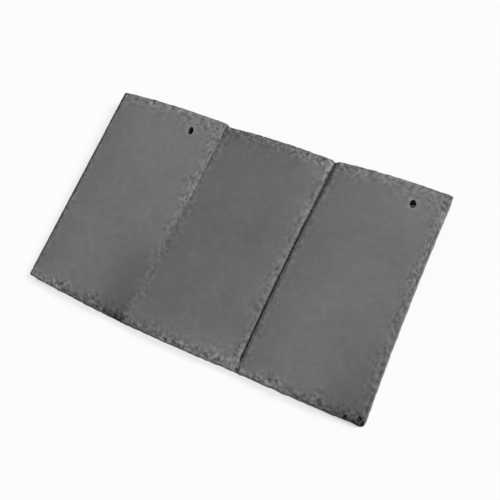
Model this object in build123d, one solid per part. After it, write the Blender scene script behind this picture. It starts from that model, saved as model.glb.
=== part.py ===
from build123d import *
import math
import os

# Concrete roof tile, cast in one piece, with its face moulded as three plain tiles side by side.
# Lengths are in millimetres. While it is shaped, the tile lies flat: X runs across its width from
# the left edge, Y from the nose (the lower edge on the roof) up to the head, and the edges of its
# underside are at Z zero. It is then tipped, to lie face up on its nose and its hanging nibs.

# The slab
width = 450.0
length = 275.0
thickness = 12.5
camber = 3.0
left_arris = 1.4
right_arris = 2.6
nose_bevel_height = 2.6
nose_bevel_angle = 42.0
head_bevel_height = 1.6
head_bevel_angle = 35.0
right_edge_hollow = 2.5
nose_corner_round = 4.0

# The blank that the slab is trimmed from is this much longer at the nose and at the head.
blank_margin = 12.0

# The false joints stand at these shares of the width, at the blank's nose end, half way up and at
# its head end. They lean and bow a little, as the joints between separately laid tiles do.
step_joint_shares = (0.329, 0.345, 0.352)
slot_joint_shares = (0.664, 0.670, 0.688)

# At the first joint the left panel ends in a rounded brow and a step down, with a fine seam at its
# foot. At the same three places, the step is nearly gone at the nose and highest at the head.
step_rises = (0.3, 1.0, 1.5)
step_brows = (0.7, 1.8, 2.6)
step_valleys = (0.6, 1.4, 1.6)
seam_width = 0.9
seam_depth = 2.0
seam_stop = 130.0

# Along the second joint a slot stops short of the head and of the nose. The brow beside it is
# rounded most at the head. The panel to the right of either joint starts with a small arris.
slot_brows = (1.8, 2.6, 3.8)
slot_valley = 3.4
slot_width = 2.6
slot_depth = 5.0
slot_stop = 8.0
slot_from_head = 8.0
joint_arris = 0.5

# The nose drops below a straight line between its outer corners at each joint, the head dips
# under its own line there, and each panel's edge swells a little past its two ends.
nose_at_step_joint = 6.5
nose_at_slot_joint = 3.7
nose_swell = 0.7
head_at_step_joint = 1.2
head_at_slot_joint = 2.3
head_swell = 1.2

# The nail holes, one near the head of each outer panel: a round bore under a long mouth
nail_hole_diameter = 7.0
nail_mouth_width = 7.6
nail_mouth_length = 10.6
nail_mouth_depth = 4.0
nail_hole_from_head = 25.0
nail_hole_from_joint = 41.4
nail_hole_from_right = 39.0

# The nibs that hang the tile on its batten, one under the head of each panel
nib_width = 42.0
nib_length = 16.0
nib_depth = 10.0
nib_from_head = 4.0
nib_draft = 8.0
nib_round = 2.5

# How far cutting shapes run past what they cut
overrun = 20.0

stations = (-blank_margin, length / 2, length + blank_margin)
step_places = [width * share for share in step_joint_shares]
slot_places = [width * share for share in slot_joint_shares]
right_places = [width, width - right_edge_hollow, width]
nib_lean = (thickness / 2 + nib_depth) * math.tan(math.radians(nib_draft))


def slab_section(station):
    """The closed cross-section of the slab, at one of the stations along its length."""
    y = stations[station]
    step_x, slot_x, right_x = step_places[station], slot_places[station], right_places[station]
    step_valley = step_valleys[station]
    starts = (0, step_x + step_valley / 2, slot_x + slot_valley / 2)
    ends = (step_x - step_valley / 2, slot_x - slot_valley / 2, right_x)
    lifts = (step_rises[station], 0, 0)
    arrises = (left_arris, joint_arris, joint_arris)
    brows = (step_brows[station], slot_brows[station], right_arris)
    under = (0, step_x, slot_x, right_x)
    edges = []
    # The underside follows the camber of the face, so the slab is of one thickness.
    for left, right in zip(under, under[1:]):
        edges.append(ThreePointArc((left, y, 0), ((left + right) / 2, y, camber), (right, y, 0)))
    last = (0, y, 0)
    for left, right, lift, arris, radius in zip(starts, ends, lifts, arrises, brows):
        rounding = radius * (1 - math.sin(math.pi / 4))
        shoulder = (left, y, thickness - arris)
        ease = (left + arris, y, thickness)
        crown = ((left + right) / 2, y, thickness + camber + lift / 2)
        brow = (right - radius, y, thickness + lift)
        corner = (right - rounding, y, thickness + lift - rounding)
        foot = (right, y, thickness + lift - radius)
        edges.append(Line(last, shoulder))
        edges.append(Line(shoulder, ease))
        edges.append(ThreePointArc(ease, crown, brow))
        edges.append(ThreePointArc(brow, corner, foot))
        last = foot
    edges.append(Line(last, (right_x, y, 0)))
    return Face(Wire(edges))


def end_line(base, sign, at_step, at_slot, swell, station):
    """The nose or head line in plan, left to right, made of one shallow arc for each panel."""
    stops = ((0, base),
             (step_places[station], base + sign * at_step),
             (slot_places[station], base + sign * at_slot),
             (width, base))
    edges = [Line((-overrun, base), stops[0])]
    for (left, low), (right, high) in zip(stops, stops[1:]):
        middle = ((left + right) / 2, (low + high) / 2 + sign * swell)
        edges.append(ThreePointArc((left, low), middle, (right, high)))
    edges.append(Line(stops[-1], (width + overrun, base)))
    return edges


def end_prism(line, far, bevel_height, bevel_angle):
    """All that lies behind a nose or head line, as far as the given place, bevelled at the top."""
    left, right = line[0] @ 0, line[-1] @ 1
    far_left, far_right = (left.X, far), (right.X, far)
    plan = Face(Wire(line + [Line(right, far_right), Line(far_right, far_left), Line(far_left, left)]))
    bevel_foot = thickness - bevel_height
    prism = extrude(Pos(0, 0, -overrun) * plan, overrun + bevel_foot, dir=(0, 0, 1))
    return prism + extrude(Pos(0, 0, bevel_foot) * plan, overrun, dir=(0, 0, 1), taper=bevel_angle)


def trimmed_slab():
    """The slab, cut to its nose and head lines, with the upper arris of both ends bevelled."""
    blank = loft([slab_section(station) for station in range(len(stations))])
    nose = end_line(0, -1, nose_at_step_joint, nose_at_slot_joint, nose_swell, 0)
    head = end_line(length, 1, -head_at_step_joint, -head_at_slot_joint, head_swell, 2)
    behind_nose = end_prism(nose, length + blank_margin + overrun, nose_bevel_height, nose_bevel_angle)
    behind_head = end_prism(head, -blank_margin - overrun, head_bevel_height, head_bevel_angle)
    return blank & behind_nose & behind_head


def corner_waste():
    """What the rounding of the corner at the right end of the nose leaves outside it."""
    lean = 1 - (length / (length + 2 * blank_margin)) ** 2
    corner_x = width - right_edge_hollow * lean
    sag = (nose_at_slot_joint + 4 * nose_swell) * nose_corner_round / (width - slot_places[0])
    square = Pos(corner_x, -sag) * Box(2 * nose_corner_round, 2 * nose_corner_round, 4 * overrun)
    post = Cylinder(nose_corner_round, 4 * overrun)
    return square - Pos(corner_x - nose_corner_round, nose_corner_round - sag) * post


def joint_cut(places, wide, deep, stop, top):
    """The slot of a false joint, between the heights of its stop and its top."""
    floor = thickness - deep
    sections = []
    for y, x in zip(stations, places):
        outline = Polyline((x - wide / 2, y, floor), (x + wide / 2, y, floor),
                           (x + wide / 2, y, thickness + overrun), (x - wide / 2, y, thickness + overrun),
                           close=True)
        sections.append(Face(Wire(outline)))
    kept = Pos(width / 2, (stop + top) / 2, 0) * Box(width, top - stop, 4 * overrun + thickness)
    return loft(sections) & kept


def nail_hole(left, right, inset, lift):
    """A nail hole and its mouth, this far in from the right side of the panel between two places."""
    x = right - inset
    share = (x - left) / (right - left)
    face_height = thickness + 4 * camber * share * (1 - share) + lift * share
    shaft = Cylinder(nail_hole_diameter / 2, 2 * (thickness + overrun))
    spread = nail_mouth_length - nail_mouth_width
    mouth = Box(nail_mouth_width, spread, overrun)
    for side in (-1, 1):
        mouth += Pos(0, side * spread / 2, 0) * Cylinder(nail_mouth_width / 2, overrun)
    mouth = Pos(0, 0, face_height - nail_mouth_depth + overrun / 2) * mouth
    return Pos(x, length - nail_hole_from_head, 0) * (shaft + mouth)


def nib(centre):
    """A hanging nib, with drafted front and back, standing down from the underside."""
    side = centre - nib_width / 2
    footing = thickness / 2
    back = length - nib_from_head
    front = back - nib_length
    outline = Polyline((side, front, footing), (side, front + nib_lean, -nib_depth),
                       (side, back - nib_lean, -nib_depth), (side, back, footing), close=True)
    block = extrude(Face(Wire(outline)), nib_width, dir=(1, 0, 0))
    corners = block.edges().filter_by(Axis.X, reverse=True).filter_by(Axis.Y, reverse=True)
    return fillet(corners, nib_round)


tile = trimmed_slab() - corner_waste()
tile -= joint_cut(step_places, seam_width, seam_depth, seam_stop, length + blank_margin)
tile -= joint_cut(slot_places, slot_width, slot_depth, slot_stop, length - slot_from_head)
panel_edges = [0, step_places[2], slot_places[2], width]
for left, right in zip(panel_edges, panel_edges[1:]):
    tile += nib((left + right) / 2)
tile -= nail_hole(panel_edges[0], panel_edges[1], nail_hole_from_joint, step_rises[2])
tile -= nail_hole(panel_edges[2], panel_edges[3], nail_hole_from_right, 0)

# Tipped to lie on the nose and the nibs, with the middle of its footprint over the origin
nib_foot = length - nib_from_head - nib_length + nib_lean
tilt = math.degrees(math.atan2(nib_depth, nib_foot + nose_at_step_joint))
tile = Rot(tilt, 0, 0) * tile
box = tile.bounding_box()
tile = Pos(-box.center().X, -box.center().Y, -box.min.Z) * tile

os.makedirs("parts", exist_ok=True)
export_step(tile, "parts/roof_tile.step")
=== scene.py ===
import math

import bmesh
import bpy
import numpy as np
from mathutils import Euler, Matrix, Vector
from mathutils.geometry import delaunay_2d_cdt


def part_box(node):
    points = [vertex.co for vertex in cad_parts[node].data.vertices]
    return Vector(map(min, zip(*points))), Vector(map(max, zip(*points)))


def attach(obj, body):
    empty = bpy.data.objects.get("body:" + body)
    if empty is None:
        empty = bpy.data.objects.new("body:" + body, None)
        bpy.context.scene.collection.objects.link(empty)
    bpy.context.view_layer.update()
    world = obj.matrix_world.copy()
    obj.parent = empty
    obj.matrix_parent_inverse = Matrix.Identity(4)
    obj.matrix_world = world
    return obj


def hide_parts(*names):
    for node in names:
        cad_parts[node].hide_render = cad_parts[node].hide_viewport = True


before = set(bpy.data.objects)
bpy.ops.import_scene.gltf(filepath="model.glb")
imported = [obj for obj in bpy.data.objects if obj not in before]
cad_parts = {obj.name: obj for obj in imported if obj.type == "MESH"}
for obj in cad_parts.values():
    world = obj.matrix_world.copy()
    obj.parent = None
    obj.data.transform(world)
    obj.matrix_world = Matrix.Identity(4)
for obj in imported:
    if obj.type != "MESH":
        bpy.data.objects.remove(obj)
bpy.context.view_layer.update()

# The casting is one slab of dark grey concrete, pressed in a mould whose face plate is cut as three
# cambered plain tiles with worn, riven edges. Both outer panels come from one pattern. It is worked
# out lying flat, in metres: x from the left edge, y up from the nose, z up.
width = 0.450
length = 0.275
thickness = 0.0125
camber = 0.003
right_edge_hollow = 0.0025
blank_margin = 0.012
pattern_shift = 0.294

# The joints and what stands beside them, at the blank's nose end, half way up and at its head end
step_joint_shares = (0.329, 0.345, 0.352)
slot_joint_shares = (0.664, 0.670, 0.688)
step_rises = (0.0003, 0.0010, 0.0015)
step_valleys = (0.0006, 0.0014, 0.0016)
slot_brows = (0.0018, 0.0030, 0.0054)
slot_valley = 0.0034
slot_valley_spread = 0.0008
seam_half_width = 0.00045
seam_depth = 0.0020
seam_stop = 0.130
seam_run_in = 0.030
slot_half_width = 0.0016
slot_depth = 0.0050
slot_stop = 0.008
slot_run_in = 0.004

# The nose and the head: how far each stands out from its base line at the two ends of each panel,
# how far it swells between them, and the height of its bevel
nose_offsets = ((0.0002, 0.0068), (0.0068, 0.0040), (0.0040, 0.0004))
nose_swell = 0.0007
nose_bevel_height = 0.0026
head_offsets = ((0.0, 0.0004), (-0.0023, -0.0023), (-0.0018, 0.0002))
head_swell = 0.0012
head_bevel_height = 0.0016
end_ramp = 0.0040


def ease(value):
    """A soft ramp, 0 below 0 and 1 above 1."""
    value = np.clip(value, 0, 1)
    return value * value * (3 - 2 * value)


def rise(value, start, finish):
    """0 up to the start, then a soft ramp to 1 at the finish."""
    return ease((value - start) / (finish - start))


def near(distance, full, gone):
    """1 up to the first distance, then a soft ramp down to 0 at the second."""
    return ease((gone - distance) / (gone - full))


def hump(value, centre, spread):
    """A bell, 1 at its centre."""
    return np.exp(-((value - centre) / spread) ** 2)


def at_station(places, y):
    """A value given at the blank's nose end, half way up and at its head end, at any height y."""
    low, middle, high = places
    t = (y - length / 2) / (length / 2 + blank_margin)
    return middle + t * (high - low) / 2 + t * t * ((high + low) / 2 - middle)


def step_joint(y):
    return at_station([width * share for share in step_joint_shares], y)


def slot_joint(y):
    return at_station([width * share for share in slot_joint_shares], y)


def right_edge(y):
    return at_station((width, width - right_edge_hollow, width), y)


def end_line(x, base, sign, offsets, swell):
    """The nose or head line in plan: one shallow arc for each panel, and a ramp after each joint."""
    joints = (0, step_joint(base), slot_joint(base), width)
    panel = np.clip(np.searchsorted(joints, x, side="right") - 1, 0, 2)
    left = np.take(joints, panel)
    right = np.take(joints, panel + 1)
    share = (x - left) / (right - left)
    starts, finishes = np.array(offsets).T
    before = np.concatenate([starts[:1], finishes])
    ramp = (before[panel] - starts[panel]) * near(x - left, 0, end_ramp)
    chord = starts[panel] * (1 - share) + finishes[panel] * share + ramp
    return base + sign * chord + sign * 4 * swell * share * (1 - share)


def nose_line(x):
    return end_line(x, 0, -1, nose_offsets, nose_swell)


def head_line(x):
    return end_line(x, length, 1, head_offsets, head_swell)


def lumps(x, y, size, seed):
    """Smooth uneven bumps, from about -1 to 1, each about the given size across."""
    cells = 128
    angle = np.random.default_rng(seed).uniform(0, 2 * math.pi, (cells, cells))
    across, along = np.cos(angle), np.sin(angle)
    gx, gy = x / size, y / size
    column, row = np.floor(gx).astype(int), np.floor(gy).astype(int)
    fx, fy = gx - column, gy - row

    def corner(i, j):
        a, b = (column + i) % cells, (row + j) % cells
        return across[a, b] * (fx - i) + along[a, b] * (fy - j)

    lower = corner(0, 0) * (1 - ease(fx)) + corner(1, 0) * ease(fx)
    upper = corner(0, 1) * (1 - ease(fx)) + corner(1, 1) * ease(fx)
    return (lower * (1 - ease(fy)) + upper * ease(fy)) * math.sqrt(2)


def rough(x, y, size, seed, octaves=3):
    """Lumps with finer and lower lumps on them."""
    keep = 0.55
    total = 0
    for octave in range(octaves):
        total = total + keep ** octave * lumps(x, y, size / 2 ** octave, seed + octave)
    return total


def rough_along(place, size, seed, octaves=3):
    """Roughness that changes along one direction only."""
    return rough(place, 0 * place, size, seed, octaves)


def layers(share, count, riser):
    """A flight of layers from 0 to 1, each ending in a riser that takes this share of its tread."""
    scaled = np.clip(share, 0, 1) * count
    tread = np.floor(scaled)
    return (tread + ease((scaled - tread - (1 - riser)) / riser)) / count


def bevel(distance, wide, deep):
    """How far a bevelled and slightly hollow edge has fallen, this far in from its side."""
    hollow = 1.25
    return deep * np.clip(1 - distance / wide, 0, 1) ** hollow


def arris(distance, radius):
    """How far a rounded edge has fallen, this far in from its side."""
    inside = np.clip(radius - distance, 0, radius)
    return radius - np.sqrt(np.maximum(radius ** 2 - inside ** 2, 0))


# The worn right edge that the two outer panels share: how far in the break, the slope and the riven
# layers run, and its scars and raised crumbs, as (up from the nose, in from the edge, half length,
# half width, slant in degrees, depth or height)
break_inset = 0.0030
break_depth = 0.0009
break_half_width = 0.00055
slope_reach = 0.0046
slope_depth = 0.0005
riven_reach = 0.011
riven_end = 0.024
riven_depth = 0.00045
edge_scars = (
    (0.017, 0.004, 0.004, 0.0016, 20, 0.0007),
    (0.027, 0.003, 0.005, 0.0012, -15, 0.0006),
    (0.040, 0.011, 0.005, 0.0016, 35, 0.0005),
    (0.052, 0.003, 0.005, 0.0014, 10, 0.0006),
    (0.066, 0.006, 0.006, 0.0016, -20, 0.0005),
    (0.082, 0.007, 0.007, 0.0018, 25, 0.0006),
    (0.100, 0.006, 0.004, 0.0022, 10, 0.0006),
    (0.112, 0.005, 0.005, 0.0020, -10, 0.0007),
    (0.124, 0.006, 0.004, 0.0020, 20, 0.0006),
    (0.148, 0.004, 0.005, 0.0014, 0, 0.0006),
    (0.168, 0.0026, 0.009, 0.0016, 4, 0.0010),
    (0.185, 0.004, 0.005, 0.0018, -12, 0.0005),
    (0.200, 0.002, 0.004, 0.0016, 0, 0.0012),
    (0.209, 0.0048, 0.0035, 0.0026, -30, 0.0014),
    (0.217, 0.0062, 0.006, 0.0012, -14, 0.0009),
    (0.226, 0.002, 0.009, 0.0014, 3, 0.0013),
    (0.240, 0.006, 0.007, 0.0016, -8, 0.0006),
    (0.256, 0.0052, 0.006, 0.0013, 50, 0.0010),
    (0.262, 0.0046, 0.006, 0.0013, 50, 0.0010),
    (0.266, 0.0012, 0.008, 0.0013, 0, 0.0012),
)
edge_crumbs = (
    (0.210, 0.0050, 0.0040, 0.0020, 15, 0.0007),
    (0.188, 0.0155, 0.0060, 0.0014, 0, 0.0003),
    (0.119, 0.0075, 0.0035, 0.0016, 20, 0.0007),
    (0.112, 0.0040, 0.0035, 0.0014, 30, 0.0007),
    (0.100, 0.0020, 0.0035, 0.0014, 30, 0.0006),
    (0.066, 0.0080, 0.0035, 0.0012, 15, 0.0003),
    (0.250, 0.0080, 0.0050, 0.0010, 25, 0.0004),
    (0.262, 0.0100, 0.0050, 0.0010, 35, 0.0004),
)

# How open the crevice is that follows the worn edge and the first joint, at places up the tile
crevice_places = (0.120, 0.160, 0.194, 0.199, 0.206, 0.213, 0.217, 0.231, 0.236, 0.250, 0.256, 0.270)
crevice_opening = (0.0, 0.01, 0.02, 0.15, 0.02, 0.04, 0.7, 0.6, 0.08, 0.10, 0.7, 0.8)

# Scars along the nose of the outer panels, as (x, up from the nose line, half length, half width,
# slant in degrees, depth), with x on the left panel, and then those of the middle panel
nose_scars = (
    (0.1480, 0.0064, 0.0030, 0.0026, 30, 0.0024),
    (0.1525, 0.0040, 0.0016, 0.0040, 0, 0.0020),
    (0.1425, 0.0020, 0.0050, 0.0018, 0, 0.0016),
    (0.1340, 0.0034, 0.0027, 0.0024, 0, 0.0024),
    (0.1250, 0.0030, 0.0050, 0.0016, 12, 0.0014),
    (0.1160, 0.0050, 0.0050, 0.0018, -14, 0.0010),
    (0.1060, 0.0036, 0.0050, 0.0016, 10, 0.0011),
    (0.0900, 0.0060, 0.0070, 0.0018, -8, 0.0007),
    (0.0780, 0.0030, 0.0050, 0.0014, 6, 0.0009),
    (0.0640, 0.0050, 0.0050, 0.0016, 16, 0.0006),
    (0.0460, 0.0050, 0.0060, 0.0020, -20, 0.0005),
    (0.0280, 0.0034, 0.0060, 0.0015, 8, 0.0006),
)
middle_nose_scars = (
    (0.1610, 0.0040, 0.0060, 0.0016, -10, 0.0008),
    (0.1750, 0.0060, 0.0050, 0.0020, 20, 0.0009),
    (0.1930, 0.0040, 0.0040, 0.0020, 0, 0.0010),
    (0.2060, 0.0030, 0.0050, 0.0018, 10, 0.0012),
    (0.2190, 0.0036, 0.0080, 0.0024, -6, 0.0015),
    (0.2310, 0.0090, 0.0050, 0.0018, 24, 0.0008),
    (0.2440, 0.0060, 0.0070, 0.0018, 12, 0.0009),
    (0.2580, 0.0040, 0.0050, 0.0016, -18, 0.0008),
    (0.2780, 0.0050, 0.0070, 0.0016, 8, 0.0006),
    (0.2960, 0.0030, 0.0030, 0.0020, 0, 0.0010),
)

# Scars near the head of the middle panel, as (x, y, half length, half width, slant in degrees,
# depth), and then those of the outer panels, with x on the left panel
middle_head_scars = (
    (0.1655, 0.2470, 0.0022, 0.0020, 0, 0.0009),
    (0.1675, 0.2380, 0.0020, 0.0018, 0, 0.0008),
    (0.1830, 0.2640, 0.0050, 0.0012, 62, 0.0010),
    (0.1960, 0.2620, 0.0070, 0.0014, -12, 0.0008),
    (0.2120, 0.2610, 0.0060, 0.0014, 8, 0.0008),
    (0.2330, 0.2650, 0.0060, 0.0015, -15, 0.0007),
    (0.2710, 0.2680, 0.0024, 0.0018, 0, 0.0011),
    (0.2760, 0.2620, 0.0060, 0.0016, 40, 0.0009),
    (0.2880, 0.2640, 0.0070, 0.0015, 20, 0.0008),
)
outer_head_scars = (
    (0.0480, 0.2690, 0.0050, 0.0014, 55, 0.0008),
    (0.0560, 0.2640, 0.0050, 0.0016, 40, 0.0008),
    (0.0640, 0.2600, 0.0040, 0.0014, 20, 0.0006),
    (0.1060, 0.2650, 0.0060, 0.0016, -20, 0.0006),
    (0.1230, 0.2640, 0.0050, 0.0016, 30, 0.0008),
    (0.1330, 0.2590, 0.0060, 0.0016, -35, 0.0009),
    (0.1400, 0.2680, 0.0050, 0.0014, 60, 0.0010),
    (0.1460, 0.2620, 0.0050, 0.0014, 55, 0.0010),
)

# This shift takes a roughness from another stretch of its pattern.
noise_shift = 0.3


def scar_field(along, across, scars):
    """How deep the listed scars bite, each a scoop with a steep, ragged rim."""
    ragged_size = 0.0045
    rim_steepness = 1.6
    depth = 0 * along
    along = along + 0.0012 * rough(along, across + noise_shift, ragged_size, 101, 2)
    across = across + 0.0010 * rough(along, across + noise_shift, ragged_size, 103, 2)
    for place, inset, half_length, half_width, slant, bite in scars:
        turn = math.radians(slant)
        u = (along - place) * math.cos(turn) + (across - inset) * math.sin(turn)
        v = (across - inset) * math.cos(turn) - (along - place) * math.sin(turn)
        fall = 1 - (u / half_length) ** 2 - (v / half_width) ** 2
        depth = np.maximum(depth, bite * ease(fall * rim_steepness))
    return depth


def step_wander(y):
    """How far the first joint strays to the right of its line, where its edge is broken."""
    return (0.0005 + 0.0009 * rough_along(y, 0.010, 71)) * rise(y, 0.08, 0.14)


# Columns and rows of the face, close together at the edges and wider apart in the middle
edge_steps = np.array([0, 0.0003, 0.0008, 0.0014, 0.0021, 0.0029, 0.0037, 0.0046, 0.0056, 0.0068, 0.0082])
worn_steps = np.concatenate([[0, 0.0002, 0.0005, 0.0009], np.arange(0.0014, 0.0130, 0.0007),
                             [0.0140, 0.0152]])
end_steps = np.concatenate([[0, 0.0003, 0.0007, 0.0012], np.arange(0.0018, 0.0170, 0.0008),
                            [0.0180, 0.0193]])
face_step = 0.0020
row_step = 0.00125


def spread_places(near_steps, far_steps, step, span):
    """Places along a span: fixed offsets at its near and far ends, and even steps between them."""
    count = round((span - near_steps[-1] - far_steps[-1]) / step)
    inner = np.linspace(0, 1, count + 1)[1:-1]
    shares = np.concatenate([0 * near_steps, inner, 1 + 0 * far_steps])
    between = near_steps[-1] * (1 - inner) - far_steps[-1] * inner
    return shares, np.concatenate([near_steps, between, -far_steps[::-1]])


# The walls of the seam and of the slot, as (share of the half width, share of the depth)
seam_walls = ((-1, 0), (-0.92, 0.35), (-0.80, 0.75), (-0.55, 1), (0, 1),
              (0.55, 1), (0.80, 0.75), (0.92, 0.35), (1, 0))
slot_walls = ((-1, 0), (-0.86, 0.28), (-0.70, 0.60), (-0.50, 0.88), (-0.2, 1),
              (0.25, 1), (0.55, 0.82), (0.80, 0.42), (1, 0))
joint_walls = ((seam_half_width, seam_walls), (slot_half_width, slot_walls))

# Each column is (zone, share of the zone's width, offset, share of the joint's depth). Zones 0, 2
# and 4 are the panels, and zones 1 and 3 are the joints between them.
columns = []
for panel in range(3):
    shares, offsets = spread_places(edge_steps, worn_steps, face_step, width / 3)
    columns += [(2 * panel, share, offset, 0) for share, offset in zip(shares, offsets)]
    if panel < 2:
        half_width, walls = joint_walls[panel]
        columns += [(2 * panel + 1, 0.5, half_width * side, deep) for side, deep in walls]
zone, column_share, column_offset, column_depth = (np.array(values) for values in zip(*columns))
left_panel, first_joint, middle_panel, right_panel = (zone == number for number in (0, 1, 2, 4))
outer_panel = left_panel | right_panel
in_panel = outer_panel | middle_panel
row_share, row_offset = spread_places(end_steps, end_steps, row_step, length)
rows, cols = len(row_share), len(zone)
start_of_middle = [np.searchsorted(zone, 2)]
column_before = np.maximum(np.searchsorted(zone, zone) - 1, 0)
column_after = np.minimum(np.searchsorted(zone, zone, side="right"), cols - 1)


def zone_sides(y):
    """Where each column's zone starts and ends across the width, for every row and column."""
    step = step_joint(y) + step_wander(y)
    slot = slot_joint(y)
    # The valley of the first joint is always a little wider than its seam.
    step_half = np.maximum(at_station(step_valleys, y) / 2, seam_half_width * 1.1)
    slot_half = slot_valley / 2 + slot_valley_spread * rise(y, 0.18, 0.26)
    starts = [0 * y, step - step_half, step + step_half, slot - slot_half, slot + slot_half]
    ends = starts[1:] + [right_edge(y)]
    return np.choose(zone, starts), np.choose(zone, ends)


# The lean of the joints and the bow of the ends depend on each other, so both settle in turn.
x = np.repeat(np.linspace(0, width, cols)[None, :], rows, 0)
y = np.repeat((row_share * length)[:, None], cols, 1)
for settle in range(3):
    start, end = zone_sides(y)
    x = start + column_share * (end - start) + column_offset
    nose, head = nose_line(x), head_line(x)
    y = nose + row_share[:, None] * (head - nose) + row_offset[:, None]

from_left = x - start
from_right = end - x
from_nose = y - nose
from_head = head - y
pattern_x = np.where(right_panel, x - pattern_shift, x)
inset = right_edge(y) - pattern_shift - pattern_x
share = np.clip(from_left / (end - start), 0, 1)

# The first joint and the wear beside it fade out towards the nose
joint_fade = rise(y, 0.095, 0.175)

# The plain face: cambered panels, the left one rising towards its step
lift = np.where(left_panel, at_station(step_rises, y), 0.0)
lift = lift * (1 - (1 - joint_fade) * near(from_right, 0, 0.018))
face = thickness + 4 * camber * share * (1 - share) + lift * share

# Broad hollows and swells left by the mould, the same on the two outer panels, whose right corner
# sags at the nose
swells = 0.00022 * rough(pattern_x, y, 0.060, 11, 2) + 0.00005 * rough(pattern_x, y, 0.014, 17)
sag = 0.0012 * rise(share, 0.55, 1.0) * near(from_nose, 0, 0.022) * outer_panel
face = face + swells * in_panel - sag

# The worn right edge of the outer panels, which on the left panel fades towards the nose. On the
# right panel it ends in a broken ledge, and on the left one it slopes down to the joint.
crumble = rough(pattern_x + noise_shift, y, 0.007, 29)
break_line = break_inset * (1 + 0.6 * rough_along(y, 0.016, 23))
ledge = break_depth * near(from_right, break_line - break_half_width, break_line + break_half_width)
slope = slope_depth * joint_fade * ease(1.05 - from_right / (slope_reach * (1 + 0.5 * crumble)))
edge_wear = np.where(right_panel, 0.9, 0.2 + 0.5 * joint_fade)
riven = layers(1 - inset / riven_reach + 0.85 * crumble, 3, 0.35) * (inset < riven_end)
edge_relief = edge_wear * (riven_depth * riven + scar_field(y, inset, edge_scars))
raised = np.where(right_panel, 1.0, 0.7 + 0.3 * joint_fade) * scar_field(y, inset, edge_crumbs)
edge_round = np.where(right_panel, 0.0011, 0.0008 * joint_fade)

# A crevice follows the worn edge of the right panel. Along the first joint it opens the seam.
crevice = np.interp(y, crevice_places, crevice_opening)
crevice_depth = 0.7 * (0.45 + 0.55 * crevice) * (0.75 + 0.45 * rough_along(y, 0.008, 31))
crevice_line = 0.0028 + 0.0012 * rough_along(y, 0.010, 33)
groove = np.where(right_panel, crevice_depth * hump(from_right, crevice_line, 0.0012), 0)
outer_drop = np.where(right_panel, ledge, slope) + edge_relief - raised + 0.0006 * groove
outer_drop = outer_drop + arris(from_right, edge_round)

# The rounded right edge of the middle panel, beside the slot
brow = at_station(slot_brows, y) * (0.4 + 0.6 * rise(y, 0.001, 0.010))
clean_drop = arris(from_right, brow) + 0.00030 * layers(0.9 - from_right / 0.006 + 0.5 * crumble, 2, 0.3)

# Left edges are crisp: a bevel on the outer panels, hardly any on the middle one
bevel_width = np.where(middle_panel, 0.0006, 0.0030)
middle_bevel_depth = (0.0001 + 0.0004 * crevice) * joint_fade
bevel_depth = np.where(middle_panel, middle_bevel_depth, np.where(left_panel, 0.0011, 0.0009))
left_step = 0.00020 * np.where(middle_panel, joint_fade, 1.0)
left_drop = bevel(from_left, bevel_width, bevel_depth)
left_drop = left_drop + left_step * layers(0.6 - from_left / 0.009 + 0.6 * crumble, 2, 0.3)

# Nose and head: a riven band, then the bevelled and knocked arris. The nose of each panel is worn
# most towards its right end.
end_crumble = rough(pattern_x, y, 0.009, 37)
nose_wear = rise(share, 0.30, 0.95) * np.where(middle_panel, 0.3, 1.0)
nose_band = (0.009 + 0.004 * nose_wear) * (1 + 0.4 * lumps(pattern_x, 0 * x, 0.030, 41))
nose_band_end = 0.022
nose_riven = layers(1 - from_nose / nose_band + 0.6 * end_crumble, 3, 0.28) * (from_nose < nose_band_end)
knocks = 1 + 0.24 * rough_along(x, 0.007, 43, 2)
nose_bevel_width = (0.0023 + 0.0010 * nose_wear) * knocks
nose_drop = (0.0006 + 0.0007 * nose_wear) * nose_riven
nose_drop = nose_drop + bevel(from_nose, nose_bevel_width, nose_bevel_height)
head_band = np.where(middle_panel, 0.015, 0.013) + 0.004 * lumps(pattern_x, 0 * x, 0.030, 47)
head_band_end = 0.024
head_riven = layers(0.85 - from_head / head_band + 0.7 * end_crumble, 3, 0.28) * (from_head < head_band_end)
head_bevel_width = 0.0011 * knocks
head_drop = np.where(outer_panel, 0.00055, 0.0007) * head_riven
head_drop = head_drop + bevel(from_head, head_bevel_width, head_bevel_height)
nose_scarring = scar_field(pattern_x, from_nose, nose_scars) * outer_panel
nose_scarring = nose_scarring + scar_field(x, from_nose, middle_nose_scars) * middle_panel
head_scarring = scar_field(x, y, middle_head_scars) * middle_panel
head_scarring = head_scarring + scar_field(pattern_x, y, outer_head_scars) * outer_panel

side_drop = left_drop + np.where(outer_panel, outer_drop, clean_drop)
end_drop = nose_drop + head_drop + nose_scarring + head_scarring

# Where the concrete is gritty: by the worn edges, the nose and the head, in patches that reach in
# further here and there. Each edge has a strong narrow band and a weak wide one.
patches = 1 + 0.45 * rough(pattern_x, y, 0.026, 57, 2)
outer_grit = 0.75 * ease(1.5 - inset / (0.0085 * patches) + 0.5 * crumble)
outer_grit = outer_grit + 0.45 * ease(1.25 - inset / (0.021 * patches))
outer_grit = outer_grit * np.where(right_panel, 0.85, 0.50 + 0.15 * joint_fade)
brow_grit = 0.65 * near(from_right, 0.0024, 0.0104) + 0.45 * ease(1.2 - from_right / (0.020 * patches))
right_grit = np.where(outer_panel, outer_grit, brow_grit)
left_grit = 0.5 * ease(1.2 - from_left / 0.009 + 0.4 * crumble) + 0.3 * near(from_left, 0, 0.022)
left_grit = left_grit * np.where(left_panel, 1.4, 1.0)
nose_grit = np.where(left_panel, 1.10, 0.85) * ease(1.35 - from_nose / (0.010 * patches) + 0.4 * end_crumble)
nose_grit = nose_grit + np.where(left_panel, 0.85, 0.70) * ease(1.2 - from_nose / (0.024 * patches))
head_grit = np.where(outer_panel, 0.75, 1.0) * ease(1.25 - from_head / (0.012 * patches) + 0.5 * end_crumble)
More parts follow.
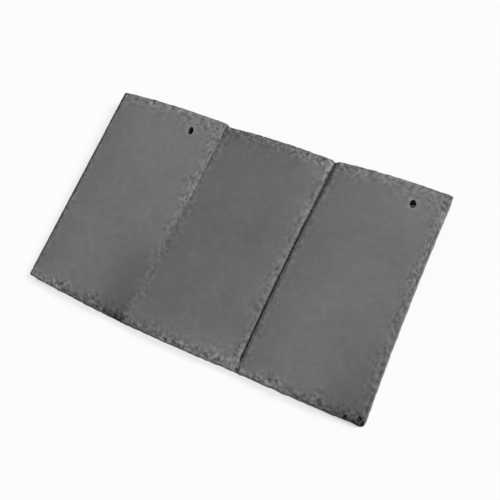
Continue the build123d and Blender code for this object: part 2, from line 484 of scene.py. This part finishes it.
head_grit = head_grit + 0.6 * ease(1.2 - from_head / (0.028 * patches))
gritty = np.maximum(np.maximum(right_grit, left_grit), np.maximum(nose_grit, head_grit))
gritty = gritty * (0.55 + 0.45 * patches) * np.where(first_joint, 0.5, 1.0)
grit_size = 0.0052
grit_height = 0.00052
grit = grit_height * rough(pattern_x, 0.8 * y, grit_size, 59, 2) * gritty
panel_top = face - side_drop - end_drop + grit

# At the first joint the left panel comes down to the middle one, and lower where the crevice is open
step_reach = 0.008
foot = panel_top[:, start_of_middle] - 0.0007 * crevice
panel_top = np.where(left_panel & (from_right < step_reach), np.maximum(panel_top, foot), panel_top)

# Between the panels lie the valleys, with the fine seam and the slot cut down into them
dip = (0.00005 + 0.0003 * crevice) * joint_fade * share * (1 - share) * first_joint
valley = panel_top[:, column_before] * (1 - share) + panel_top[:, column_after] * share - dip
seam_run = rise(y, seam_stop, seam_stop + seam_run_in) * crevice
slot_run = rise(y, slot_stop, slot_stop + slot_run_in) * (1 - 0.8 * near(length - y, 0.003, 0.012))
run = np.where(first_joint, seam_run, slot_run) * column_depth
joint_depth = np.where(first_joint, seam_depth, slot_depth) * (1 + 0.10 * lumps(y, 0 * y, 0.012, 61))
joint_floor = thickness - joint_depth
z = np.where(in_panel, panel_top, np.minimum(valley, valley * (1 - run) + joint_floor * run))

# What the finish needs to know first: broken concrete, and where the colour darkens, with dirt and
# painted shade in the grooves, pits and joints, and painted shade on the left edges
broken = np.clip((side_drop + end_drop - 0.0002) / 0.0010, 0, 1) * in_panel
broken = broken * np.where(outer_panel, 0.4, 1.0) * (1 - near(from_nose, 0, 0.004))
pits = np.clip((nose_scarring - 0.0011) / 0.0010, 0, 0.9)
# Painted shade on the left edges, which face away from the lamp: beside the slot on the right panel and
# along the outside of the left panel
slot_side_painted_shade = 0.25 * near(from_left, 0.0012, 0.0052) * right_panel
left_edge_painted_shade = 0.35 + 0.55 * rise(y, 0, 0.12) + 0.30 * rise(y, 0.21, 0.26)
left_edge_painted_shade = left_edge_painted_shade * near(from_left, 0.0024, 0.0054) * left_panel
most_dirt_and_shade = 1.2
# The crevice and the deepest nose pits darken with dirt and painted shade, the left edges with painted shade
panel_dirt_and_shade = np.clip(groove + pits + slot_side_painted_shade + left_edge_painted_shade, 0, most_dirt_and_shade)
# In the seam and the slot the colour darkens with dirt and painted shade
grooved = np.where(in_panel, panel_dirt_and_shade, np.where(first_joint, 0.7, 0.2) * run)

# Then the soft shading of the colour over each panel, partly the concrete's own clouding and partly
# painted shade. The outer ones are pale along the head and dark at the right end of the nose, and the
# middle one is darker, with paler corners on its right. The painted shade falls where the face turns
# away from the lamp: on the nose and head arrises, on the left of the outer panels and at their
# sagging nose corners.
up = np.clip(y / length, 0, 1)
end_distance = np.minimum(from_head, from_nose)
# The narrow band by the nose arris, darkened on every panel with painted shade, as it faces away from the
# lamp
nose_rim = near(from_nose, 0.002, 0.007)
left_part = near(share, 0.15, 0.45)
inner_part = rise(share, 0.15, 0.35) * near(share, 0.77, 0.92)

# The outer panels are darker towards their left side: painted shade added to the camber's own shading under
# the lamp from the right
outer_base = 0.92 + 0.08 * rise(up, 0.60, 0.95) + 0.09 * rise(share, 0, 0.35)
# Darker over the lower right and towards the right end of the nose: partly a darker stain, partly painted
# shade where the corner sags away from the lamp
low_right = 0.26 * rise(share, 0.50, 0.95) * near(up, 0.06, 0.50)
nose_stain_and_painted_shade = 0.38 * rise(share, 0.20, 0.80) * np.exp(-from_nose / 0.011)
# Paler by the nose on the left of each outer panel, less the painted shade on the nose arris
nose_light = left_part * (0.16 * near(from_nose, 0, 0.022) - 0.10 * nose_rim)
# Painted shade along the nose band of the outer panels
nose_band_painted_shade = 0.04 * inner_part * near(from_nose, 0.0036, 0.0126)
head_light = (0.08 + 0.03 * rise(share, 0.3, 0.5)) * near(from_head, 0, 0.024)
# Painted shade on the head arris, where the lamp would light the bevel
head_arris_painted_shade = 0.14 * near(from_head, 0, 0.004)
outer_shade = outer_base - low_right - nose_stain_and_painted_shade + nose_light - nose_band_painted_shade + head_light - head_arris_painted_shade
left_corner = 0.09 * rise(share, 0.60, 0.90) * near(up, 0.23, 0.48)
# More painted shade along the nose at the right end of the right panel
right_corner = 0.06 * rise(share, 0.60, 0.90) * np.exp(-from_nose / 0.010)
edge_stain = 0.12 * near(inset, 0.0024, 0.0084) * hump(y, 0.10, 0.035)
outer_shade = outer_shade - left_corner * left_panel - (0.03 + right_corner + edge_stain) * right_panel

middle_base = 0.86 + 0.12 * near(up, 0, 0.20) - 0.03 * rise(up, 0.86, 0.96)
right_light = 0.16 * rise(share, 0.80, 0.98) * rise(up, 0.1, 0.9)
right_dusk = 0.03 * rise(share, 0.4, 0.7) * near(share, 0.7, 0.8)
corner_stain = 0.20 * near(share, 0, 0.5) * np.exp(-from_nose / 0.020)
ends_light = 0.10 * rise(share, 0.40, 0.70) * near(end_distance, 0.0048, 0.0288)
corner_light = 0.14 * rise(share, 0.70, 0.85) * near(from_head, 0.009, 0.039)
head_stain = 0.10 * hump(x, 0.178, 0.018) * hump(from_head, 0.012, 0.012)
# The middle panel's nose arris gets painted shade too
middle_shade = middle_base + right_light - right_dusk - corner_stain - 0.09 * nose_rim
middle_shade = middle_shade + ends_light + corner_light - head_stain
panel_shade = np.where(outer_panel, outer_shade, middle_shade)
shade = np.where(in_panel, panel_shade, panel_shade[:, column_after])

# Where the first joint has faded out, the two shades run into each other
blend = left_panel * (1 - joint_fade) * near(from_right, 0, 0.005)
shade = shade + blend * (panel_shade[:, start_of_middle] - shade)

# Both ends and the right side wander a little in plan
by_end = near(end_distance, 0, 0.004)
end_wander = np.where(from_nose < from_head, -0.0007, 0.00045) * rough_along(x, 0.011, 67)
y = y + by_end * end_wander
side_wander = 0.0003 * near(from_right, 0, 0.004) * rough_along(y, 0.011, 73)
x = x + side_wander * right_panel

# The corner at the right end of the nose is rounded off
corner_round = 0.0038
over_x = np.clip(corner_round - from_right, 0, corner_round) * right_panel
over_y = np.clip(corner_round - from_nose, 0, corner_round) * right_panel
squeeze = 1 - np.maximum(over_x, over_y) / np.maximum(np.hypot(over_x, over_y), 1e-9)
x = x - over_x * squeeze
y = y + over_y * squeeze

points = [np.stack([x.ravel(), y.ravel(), z.ravel()], 1)]
marks = [np.stack([grid.ravel() for grid in (broken, grooved, gritty, shade)], 1)]
faces = []
index = np.arange(rows * cols).reshape(rows, cols)


def add_points(new_points, new_marks):
    """Keeps new points of the casting and returns their numbers."""
    first = sum(len(group) for group in points)
    points.append(new_points)
    marks.append(new_marks)
    return np.arange(first, first + len(new_points))


def wear_and_shade(count, broken, grooved, gritty, shade=1.0):
    """The same wear, dirt with painted shade, and colour shading for a number of points."""
    return np.full((count, 4), (broken, grooved, gritty, shade))


def skin(upper, lower):
    """Quads between two closed rows of point numbers, facing out when lower is below upper."""
    after_upper, after_lower = np.roll(upper, -1), np.roll(lower, -1)
    return np.stack([upper, lower, after_lower, after_upper], 1)


def inside(px, py, loop):
    """Which places lie inside a closed loop in plan."""
    lx, ly = loop[:, 0], loop[:, 1]
    nx, ny = np.roll(lx, -1), np.roll(ly, -1)
    crosses = (ly[None, :] > py[:, None]) != (ny[None, :] > py[:, None])
    slant = (nx - lx) / np.where(ny == ly, 1, ny - ly)
    crossing = lx[None, :] + slant[None, :] * (py[:, None] - ly[None, :])
    return (np.sum(crosses & (px[:, None] < crossing), 1) % 2).astype(bool)


def fill_between(outer, holes, loose):
    """Triangles, in plan, between an outer loop, the holes in it and loose points.

    The points are numbered in that order."""
    loops = [outer] + holes
    flat = np.concatenate(loops + [loose])
    edges = []
    first = 0
    for loop in loops:
        count = len(loop)
        edges += [(first + i, first + (i + 1) % count) for i in range(count)]
        first += count
    made = delaunay_2d_cdt([Vector(p) for p in flat], edges, [], 0, 1e-7)
    triangles = np.array(made[2])
    source = np.array([group[0] for group in made[3]])
    middle = np.array([p[:] for p in made[0]])[triangles].mean(1)
    keep = inside(middle[:, 0], middle[:, 1], outer)
    for hole in holes:
        keep &= ~inside(middle[:, 0], middle[:, 1], hole)
    return source[triangles[keep]]


# The nail holes go straight through near the head of the outer panels, under a long mouth. The one
# on the right has kept a little more of its rim. The face is made anew in a window round each.
nail_hole_radius = 0.0035
nail_hole_from_head = 0.025
nail_hole_from_joint = 0.0414
nail_hole_from_right = 0.039
mouth_half_width = 0.0038
mouth_half_length = 0.0053
mouth_lean = math.radians(14)
mouth_fall = 0.0003
mouth_sizes = (1.0, 0.94)
rim_points = 36
window = 0.0085

# Rings of the pale rim, as (size against the mouth, fall, how pale), and of the bore, as (width and
# length against the nail hole, depth, darkening by dirt and painted shade)
rim_rings = ((1.70, 0.0, 0.8), (1.38, 0.00002, 2.6), (1.12, 0.00008, 3.2))
bore_rings = ((1.02, 1.42, 0.0012, 0.9), (0.99, 1.38, 0.0040, 1.35), (0.97, 1.0, 0.0046, 1.45))


def ring(centre, half_width, half_length, turns, lean=0.0):
    """An oval in plan, leaning to the left by an angle."""
    across, along = half_width * np.cos(turns), half_length * np.sin(turns)
    return np.stack([centre[0] + across * math.cos(lean) - along * math.sin(lean),
                     centre[1] + across * math.sin(lean) + along * math.cos(lean)], 1)


turns = np.linspace(0, 2 * math.pi, rim_points, endpoint=False)
rim_crumbs = 1 + 0.08 * lumps(8 + 2 * np.cos(turns), 8 + 2 * np.sin(turns), 1.0, 79)
hole_y = length - nail_hole_from_head
hole_centres = ((step_joint(length + blank_margin) - nail_hole_from_joint, hole_y),
                (width - nail_hole_from_right, hole_y))
removed = np.zeros((rows - 1, cols - 1), bool)
hole_feet = []
for centre, size in zip(hole_centres, mouth_sizes):
    near_row = np.where(np.abs(y[:, 0] - centre[1]) < window)[0]
    near_column = np.where(np.abs(x[near_row[0]] - centre[0]) < window)[0]
    low_row, high_row = near_row[0], near_row[-1]
    low_column, high_column = near_column[0], near_column[-1]
    removed[low_row:high_row, low_column:high_column] = True
    border = np.concatenate([index[low_row, low_column:high_column],
                             index[low_row:high_row, high_column],
                             index[high_row, high_column:low_column:-1],
                             index[high_row:low_row:-1, low_column]])
    ground = z[low_row:high_row + 1, low_column:high_column + 1].mean()
    ground_shade = shade[low_row, low_column]
    rims = []
    for out, fall, pale in rim_rings:
        flat = ring(centre, mouth_half_width * out, mouth_half_length * out, turns, mouth_lean)
        level = np.full(rim_points, ground - fall)
        rims.append(add_points(np.column_stack([flat, level]), wear_and_shade(rim_points, pale, 0, 0.6, ground_shade)))
    mouth = ring(centre, size * mouth_half_width * rim_crumbs, size * mouth_half_length * rim_crumbs,
                 turns, mouth_lean)
    level = np.full(rim_points, ground - mouth_fall)
    mouth_row = add_points(np.column_stack([mouth, level]), wear_and_shade(rim_points, 1.5, 0.0, 0.6))
    every = np.concatenate(points)
    loose = np.concatenate(rims)
    around_hole = fill_between(every[border, :2], [mouth], every[loose, :2])
    faces.append(np.concatenate([border, mouth_row, loose])[around_hole])
    upper = mouth_row
    # The bore walls are darkened with dirt and painted shade where the lamp reaches into the hole
    for wide, tall, depth, dirt_and_painted_shade in bore_rings:
        flat = ring(centre, nail_hole_radius * wide, nail_hole_radius * tall, turns, mouth_lean)
        level = np.full(rim_points, ground - depth)
        lower = add_points(np.column_stack([flat, level]), wear_and_shade(rim_points, 0, dirt_and_painted_shade, 0.3))
        faces.append(skin(upper[::-1], lower[::-1]))
        upper = lower
    hole_feet.append((centre, upper))

grid_quads = np.stack([index[:-1, :-1], index[:-1, 1:], index[1:, 1:], index[1:, :-1]], -1)
faces.append(grid_quads[~removed])


def underside(px, py):
    """The height of the underside, which follows the camber of the face."""
    step, slot = step_joint(py), slot_joint(py)
    panel_left = np.where(px < step, 0, np.where(px < slot, step, slot))
    panel_right = np.where(px < step, step, np.where(px < slot, slot, width))
    t = np.clip((px - panel_left) / (panel_right - panel_left), 0, 1)
    return 4 * camber * t * (1 - t)


# The four edges of the slab go down from the rim of the face, a little rough from the mould, and
# draw in at the lower arris. The levels are (share of the way down, how far drawn in).
wall_levels = ((0.12, 0), (0.30, 0), (0.50, 0), (0.70, 0), (0.88, 0), (0.97, 0.00025), (1.0, 0.0007))
rough_until = 0.97
wall_lump = 0.007
left_roughness = 0.00004
other_roughness = 0.00026
right_bulge = 0.0009
corner_reach = 0.008
far_off = 9.0
rim = np.concatenate([index[0, :-1], index[:-1, -1], index[-1, :0:-1], index[:0:-1, 0]])
rim_place = np.concatenate(points)[rim]
ahead = np.roll(rim_place[:, :2], -1, 0) - np.roll(rim_place[:, :2], 1, 0)
outward = np.stack([ahead[:, 1], -ahead[:, 0]], 1)
outward = outward / np.maximum(np.linalg.norm(outward, axis=1), 1e-9)[:, None]
along_rim = np.cumsum(np.linalg.norm(ahead, axis=1)) / 2
foot_z = underside(rim_place[:, 0], rim_place[:, 1])
roughness = np.where(rim_place[:, 0] < 0.0005, left_roughness, other_roughness)
side_distances = (from_left + far_off * ~left_panel, from_right + far_off * ~right_panel,
                  from_nose, from_head)
on_left, on_right, on_nose, on_head = (near(grid.ravel()[rim], 0, corner_reach) for grid in side_distances)
inward = np.stack([on_left - on_right, on_nose - on_head], 1)
at_corner = np.minimum(1, (on_left + on_right) * (on_nose + on_head))
rim_wear = wear_and_shade(len(rim), 0.3, 0.0, 0.8)
rim_wear[(rim_place[:, 0] > width - 0.004) & (at_corner < 0.5), 0] = 0.4
foot_rim = rim
for down, draw in wall_levels:
    drop = rim_place[:, 2] + (foot_z - rim_place[:, 2]) * down
    unevenness = np.minimum(rough(along_rim, drop, wall_lump, 83), 0.7) * (down < rough_until)
    jitter = roughness * unevenness * (1 - at_corner)
    place = rim_place[:, :2] + outward * jitter[:, None] + inward * draw
    place[:, 0] += right_bulge * on_right * (1 - at_corner) * min(1, 1.6 * down)
    lower = add_points(np.column_stack([place, drop]), rim_wear)
    faces.append(skin(foot_rim, lower))
    foot_rim = lower

# The hanging nibs stand down from the underside, one behind the head of each panel, with a fillet
# round the root and slightly worn corners. Their outline is a rectangle with rounded corners.
nib_width = 0.042
nib_length = 0.016
nib_depth = 0.010
nib_from_head = 0.004
nib_draft = math.radians(8)
nib_round = 0.0025
nib_root = 0.0014
nib_lean = (thickness / 2 + nib_depth) * math.tan(nib_draft)
nib_y = length - nib_from_head - nib_length / 2


def nib_outline(centre_x, half_x, half_y, corner):
    """A rounded rectangle in plan, with points about every two millimetres."""
    arcs = []
    for quarter, (sx, sy) in enumerate(((1, 1), (-1, 1), (-1, -1), (1, -1))):
        turn = np.linspace(quarter, quarter + 1, 6) * math.pi / 2
        arcs.append(np.stack([sx * (half_x - corner) + corner * np.cos(turn),
                              sy * (half_y - corner) + corner * np.sin(turn)], 1))
    outline = []
    for arc, next_arc, between in zip(arcs, arcs[1:] + arcs[:1], (20, 6, 20, 6)):
        along = np.linspace(0, 1, between + 2)[1:-1, None]
        outline += [arc, arc[-1] * (1 - along) + next_arc[0] * along]
    return np.concatenate(outline) + (centre_x, nib_y)


# The levels of a nib, as (height, how far it spreads past its draft), under the one at its root
nib_levels = ((0.0005, 0.0004), (-0.0015, 0.0), (-0.0055, 0.0), (-0.0090, 0.0), (-0.0097, -0.0003),
              (-nib_depth, -0.0010))
nib_unevenness = 0.00018
panel_edges = (0, step_joint(length + blank_margin), slot_joint(length + blank_margin), width)
nib_rows = []
for left, right in zip(panel_edges, panel_edges[1:]):
    rings = []
    for height, spare in ((camber, nib_root),) + nib_levels:
        lean = nib_lean * (thickness / 2 - height) / (thickness / 2 + nib_depth)
        flat = nib_outline((left + right) / 2, nib_width / 2 + spare, nib_length / 2 - lean + spare,
                           nib_round + spare)
        if not rings:
            tall = underside(flat[:, 0], flat[:, 1])
        else:
            uneven = nib_unevenness * rough(flat[:, 0], flat[:, 1], 0.008, 89, 2)
            tall = height + uneven * (height > -nib_depth)
        rings.append(add_points(np.column_stack([flat, tall]), wear_and_shade(len(flat), 0.2, 0.0, 0.4)))
    for upper, lower in zip(rings, rings[1:]):
        faces.append(skin(upper, lower))
    nib_rows.append(rings)

# The underside, struck off smooth, between the foot of the edges, the nibs and the nail holes
under_step = 0.0040
clear_of_edge = 0.003
clear_of_hole = 0.002
clear_of_nib = (1.09, 1.2)
hole_flare = 0.0003
gx, gy = np.meshgrid(np.arange(0.004, width - clear_of_edge, under_step),
                     np.arange(-0.002, length - clear_of_edge, under_step))
loose = np.stack([gx.ravel(), gy.ravel()], 1)
keep = loose[:, 1] > nose_line(loose[:, 0]) + clear_of_edge
keep &= loose[:, 1] < head_line(loose[:, 0]) - clear_of_edge
keep &= loose[:, 0] < right_edge(loose[:, 1]) - clear_of_edge
every = np.concatenate(points)
for rings in nib_rows:
    root = every[rings[0], :2]
    middle = root.mean(0)
    keep &= ~inside(loose[:, 0], loose[:, 1], middle + (root - middle) * clear_of_nib)
hole_loops = []
for centre, foot_ring in hole_feet:
    keep &= np.hypot(loose[:, 0] - centre[0], loose[:, 1] - centre[1]) > nail_hole_radius + clear_of_hole
    flat = ring(centre, nail_hole_radius + hole_flare, nail_hole_radius + hole_flare, turns)
    opening = add_points(np.column_stack([flat, underside(flat[:, 0], flat[:, 1])]),
                         wear_and_shade(rim_points, 0.2, 0.5, 0.3))
    faces.append(skin(foot_ring[::-1], opening[::-1]))
    hole_loops.append(opening)
loose = loose[keep]
plane = underside(loose[:, 0], loose[:, 1]) + 0.00012 * rough(loose[:, 0], loose[:, 1], 0.030, 97)
spots = add_points(np.column_stack([loose, plane]), wear_and_shade(len(loose), 0, 0, 0.3))
every = np.concatenate(points)
hole_loops += [rings[0] for rings in nib_rows]
under_faces = fill_between(every[foot_rim, :2], [every[loop, :2] for loop in hole_loops], loose)
faces.append(np.concatenate([foot_rim] + hole_loops + [spots])[under_faces][:, ::-1])

# Tipped to lie on its nose and its nibs, in the place of the plain solid
nib_foot = length - nib_from_head - nib_length + nib_lean
nose_drop_at_joint = 0.0065
tilt = math.atan2(nib_depth, nib_foot + nose_drop_at_joint)
low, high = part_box("roof_tile")
shift_y = low.y + nose_drop_at_joint * math.cos(tilt) + (thickness - nose_bevel_height) * math.sin(tilt)
shift_z = nose_drop_at_joint * math.sin(tilt)
stored = np.column_stack([every[:, 0] + low.x,
                          every[:, 1] * math.cos(tilt) - every[:, 2] * math.sin(tilt) + shift_y,
                          every[:, 1] * math.sin(tilt) + every[:, 2] * math.cos(tilt) + shift_z])

polygons = [tuple(face) for group in faces for face in group.tolist()]
polygons += [tuple(rings[-1][::-1].tolist()) for rings in nib_rows]
mesh = bpy.data.meshes.new("roof_tile_casting")
mesh.from_pydata(stored.tolist(), [], polygons)
for name, values in zip(("broken", "grooved", "gritty", "shade"), np.concatenate(marks).T):
    mark = mesh.attributes.new(name, "FLOAT", "POINT")
    mark.data.foreach_set("value", values.astype(np.float32))
mesh.validate()
shell = bmesh.new()
shell.from_mesh(mesh)
bmesh.ops.delete(shell, geom=[point for point in shell.verts if not point.link_faces], context="VERTS")
shell.to_mesh(mesh)
shell.free()
mesh.polygons.foreach_set("use_smooth", np.ones(len(mesh.polygons), bool))
mesh.set_sharp_from_angle(angle=math.radians(48))
casting = bpy.data.objects.new("roof_tile_casting", mesh)
bpy.context.scene.collection.objects.link(casting)


def math_node(tree, operation, first, second):
    """One step of arithmetic between two sockets or numbers."""
    node = tree.nodes.new("ShaderNodeMath")
    node.operation = operation
    for socket, value in zip(node.inputs, (first, second)):
        if isinstance(value, (int, float)):
            socket.default_value = value
        else:
            tree.links.new(value, socket)
    return node.outputs["Value"]


def cast_concrete():
    """Dark grey through-coloured concrete: clouded and sandy, pale where broken, with dirt and painted
    shade in its cracks and painted shade over parts of its panels.
    """
    material = bpy.data.materials.new("cast_concrete")
    material.use_nodes = True
    tree = material.node_tree
    nodes, links = tree.nodes, tree.links
    shader = nodes["Principled BSDF"]
    shader.inputs["Roughness"].default_value = 0.88
    shader.inputs["Specular IOR Level"].default_value = 0.3
    place = nodes.new("ShaderNodeTexCoord").outputs["Object"]

    def noise(scale, detail, roughness):
        node = nodes.new("ShaderNodeTexNoise")
        node.inputs["Scale"].default_value = scale
        node.inputs["Detail"].default_value = detail
        node.inputs["Roughness"].default_value = roughness
        links.new(place, node.inputs["Vector"])
        return node.outputs["Fac"]

    def remap(value, low_in, high_in, low_out, high_out):
        node = nodes.new("ShaderNodeMapRange")
        node.clamp = False
        links.new(value, node.inputs["Value"])
        ends = (("From Min", low_in), ("From Max", high_in), ("To Min", low_out), ("To Max", high_out))
        for socket, number in ends:
            node.inputs[socket].default_value = number
        return node.outputs["Result"]

    def attribute(name):
        node = nodes.new("ShaderNodeAttribute")
        node.attribute_name = name
        return node.outputs["Fac"]

    # Each of these makes the grey lighter or darker.
    speckle = noise(205, 1, 0.5)
    speckled = math_node(tree, "MULTIPLY", remap(speckle, 0.3, 0.7, -0.33, 0.35), attribute("gritty"))
    clouding = remap(noise(11, 3, 0.55), 0.3, 0.7, 0.95, 1.05)
    blotches = remap(noise(48, 3, 0.6), 0.3, 0.7, 0.96, 1.04)
    mottle = remap(noise(130, 2, 0.5), 0.3, 0.7, 0.95, 1.05)
    sand = remap(noise(900, 3, 0.7), 0.25, 0.75, 0.91, 1.09)
    pale_breaks = remap(attribute("broken"), 0, 1, 1.0, 1.08)
    # Dirt and painted shade darken the grooves, pits, joints, left edges and nail-hole walls
    dirt_and_painted_shade = remap(attribute("grooved"), 0, 1, 1.0, 0.40)
    tone = math_node(tree, "ADD", speckled, 1.0)
    # The shade mark is partly the concrete's clouding and partly painted shade
    for factor in (clouding, blotches, mottle, sand, pale_breaks, dirt_and_painted_shade, attribute("shade")):
        tone = math_node(tree, "MULTIPLY", tone, factor)
    colour = nodes.new("ShaderNodeMix")
    colour.data_type = "RGBA"
    colour.blend_type = "MULTIPLY"
    colour.inputs["Factor"].default_value = 1
    colour.inputs["A"].default_value = (0.150, 0.150, 0.152, 1)
    grey = nodes.new("ShaderNodeCombineColor")
    for socket in grey.inputs[:3]:
        links.new(tone, socket)
    links.new(grey.outputs["Color"], colour.inputs["B"])
    links.new(colour.outputs["Result"], shader.inputs["Base Color"])

    # The height of the grain, in millimetres: sand, larger grains, and the grit of worn places
    fine = math_node(tree, "MULTIPLY", noise(900, 4, 0.7), 0.10)
    larger = math_node(tree, "MULTIPLY", noise(260, 3, 0.6), 0.12)
    worn = math_node(tree, "MULTIPLY", math_node(tree, "MULTIPLY", speckle, attribute("gritty")), 0.75)
    grain = math_node(tree, "ADD", math_node(tree, "ADD", fine, larger), worn)
    bump = nodes.new("ShaderNodeBump")
    bump.inputs["Strength"].default_value = 1
    bump.inputs["Distance"].default_value = 0.001
    links.new(grain, bump.inputs["Height"])
    links.new(bump.outputs["Normal"], shader.inputs["Normal"])
    return material


mesh.materials.append(cast_concrete())
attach(casting, "root")
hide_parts("roof_tile")

# The floor is a plain pale studio floor, one flat sheet that runs out of view on every side. It
# shows near white to the camera, keeps the soft shadow of the tile, and stays dark under the tile.
floor_reach = 6.0
floor_mesh = bpy.data.meshes.new("studio_floor")
corners = [(floor_reach * side, floor_reach * end, 0) for side, end in ((-1, -1), (1, -1), (1, 1), (-1, 1))]
floor_mesh.from_pydata(corners, [], [(0, 1, 2, 3)])
floor = bpy.data.objects.new("studio_floor", floor_mesh)
bpy.context.scene.collection.objects.link(floor)


def pale_floor():
    """Pale matt floor that glows for the camera and in reflections, but not under the tile."""
    glow_share = 0.74
    glow_inset = 0.012
    glow_ramp = 0.010
    material = bpy.data.materials.new("pale_floor")
    material.use_nodes = True
    tree = material.node_tree
    nodes, links = tree.nodes, tree.links
    shader = nodes["Principled BSDF"]
    shader.inputs["Base Color"].default_value = (0.92, 0.92, 0.92, 1)
    shader.inputs["Roughness"].default_value = 0.9
    shader.inputs["Specular IOR Level"].default_value = 0.2
    place = nodes.new("ShaderNodeSeparateXYZ")
    links.new(nodes.new("ShaderNodeNewGeometry").outputs["Position"], place.inputs["Vector"])
    off_x = math_node(tree, "ABSOLUTE", place.outputs["X"], 0)
    off_y = math_node(tree, "ABSOLUTE", place.outputs["Y"], 0)
    past_x = math_node(tree, "SUBTRACT", off_x, high.x - glow_inset)
    past_y = math_node(tree, "SUBTRACT", off_y, high.y - glow_inset)
    clear = nodes.new("ShaderNodeMapRange")
    clear.inputs["From Max"].default_value = glow_ramp
    links.new(math_node(tree, "MAXIMUM", past_x, past_y), clear.inputs["Value"])
    rays = nodes.new("ShaderNodeLightPath").outputs
    mirrored = math_node(tree, "MAXIMUM", rays["Is Glossy Ray"], rays["Is Transmission Ray"])
    seen = math_node(tree, "MAXIMUM", rays["Is Camera Ray"], mirrored)
    glowing = math_node(tree, "MULTIPLY", seen, glow_share)
    glowing = math_node(tree, "MULTIPLY", glowing, clear.outputs["Result"])
    glow = nodes.new("ShaderNodeEmission")
    mix = nodes.new("ShaderNodeMixShader")
    links.new(glowing, mix.inputs["Fac"])
    links.new(shader.outputs["BSDF"], mix.inputs[1])
    links.new(glow.outputs["Emission"], mix.inputs[2])
    links.new(mix.outputs["Shader"], nodes["Material Output"].inputs["Surface"])
    return material


floor_mesh.materials.append(pale_floor())

# The light is one broad soft lamp, as from a large softbox far off to the right of the tile and a
# little towards its head, and an even pale surround that fills the shadows. Together they light a
# level surface to about its own colour.
softbox_bearing = math.radians(28)
softbox_height = math.radians(40)
softbox_spread = math.radians(22)
softbox_share = 0.66
lamp = bpy.data.lights.new("softbox", "SUN")
lamp.angle = softbox_spread
lamp.energy = softbox_share * math.pi / math.sin(softbox_height)
softbox = bpy.data.objects.new("softbox", lamp)
toward = Vector((math.cos(softbox_bearing) * math.cos(softbox_height),
                 math.sin(softbox_bearing) * math.cos(softbox_height), math.sin(softbox_height)))
softbox.location = toward
softbox.rotation_euler = toward.to_track_quat("Z", "Y").to_euler()
bpy.context.scene.collection.objects.link(softbox)

# The surround shows as plain white to the camera, and lights with the rest of the light.
surround_share = 1 - softbox_share
surround = bpy.data.worlds.new("surround")
surround.use_nodes = True
bpy.context.scene.world = surround
world_nodes, world_links = surround.node_tree.nodes, surround.node_tree.links
background = world_nodes["Background"]
background.inputs["Color"].default_value = (1, 1, 1, 1)
level = world_nodes.new("ShaderNodeMapRange")
level.inputs["To Min"].default_value = surround_share
level.inputs["To Max"].default_value = 1
world_links.new(world_nodes.new("ShaderNodeLightPath").outputs["Is Camera Ray"], level.inputs["Value"])
world_links.new(level.outputs["Result"], background.inputs["Strength"])

# The camera stands over the right end of the nose and looks down on the tile, rolled as the
# photograph is. Its place, its turn in degrees and its lens were fitted to the photo's outline.
camera_place = (0.2393, -0.1531, 0.6612)
camera_turn = (18.927, 10.978, 25.004)
camera_lens = 42.12
camera_data = bpy.data.cameras.new("camera")
camera_data.lens = camera_lens
camera_data.sensor_width = 36
camera_data.clip_start = 0.01
camera = bpy.data.objects.new("camera", camera_data)
camera.location = camera_place
camera.rotation_euler = Euler([math.radians(turn) for turn in camera_turn], "XYZ")
bpy.context.scene.collection.objects.link(camera)
bpy.context.scene.camera = camera
bpy.context.scene.view_settings.view_transform = "Standard"

bpy.context.view_layer.update()
